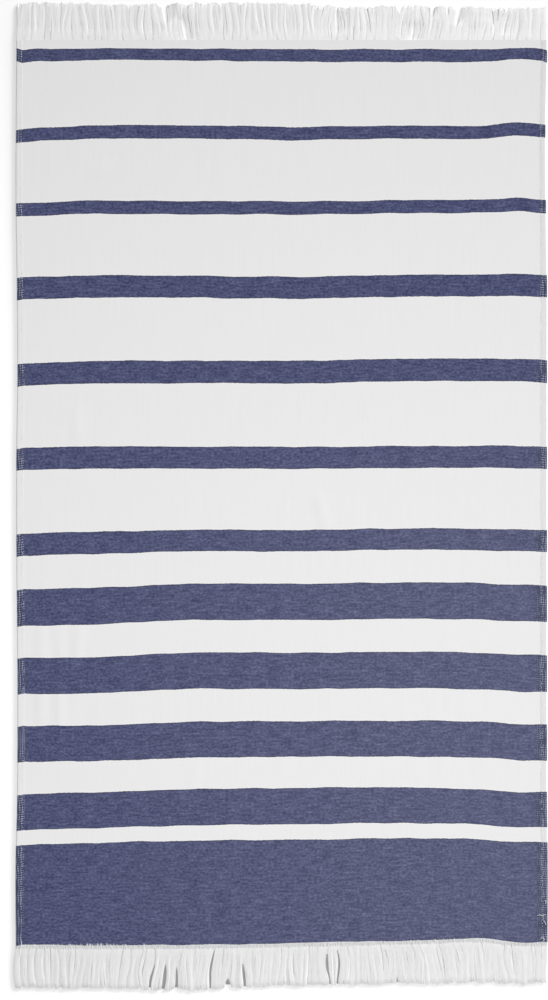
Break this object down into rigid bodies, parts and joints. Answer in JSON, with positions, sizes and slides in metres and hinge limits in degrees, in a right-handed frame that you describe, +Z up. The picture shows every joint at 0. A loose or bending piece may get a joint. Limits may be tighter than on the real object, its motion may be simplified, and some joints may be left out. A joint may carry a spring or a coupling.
{
  "type": "fringed beach towel",
  "caption": "Flat-woven cotton beach towel lying flat: white with navy stripes that grow wider towards one end, turned side hems and a fringe at both ends.",
  "frame": {"origin": "on the surface that the towel lies on, under the middle of its outline with both fringes", "axes": "+X across the towel to the picture's right, +Y along it towards the end with the narrow stripes, +Z up out of the face"},
  "size_m": [0.9722, 1.7971, 0.0031],
  "materials": {
    "cloth": "matt flat-woven cotton, white with navy melange weft stripes",
    "fringe": "loose white cotton warp yarn"
  },
  "bodies": {
    "root": {"towel": "cloth", "fringe_top": "fringe", "fringe_bottom": "fringe"}
  },
  "joints": []
}
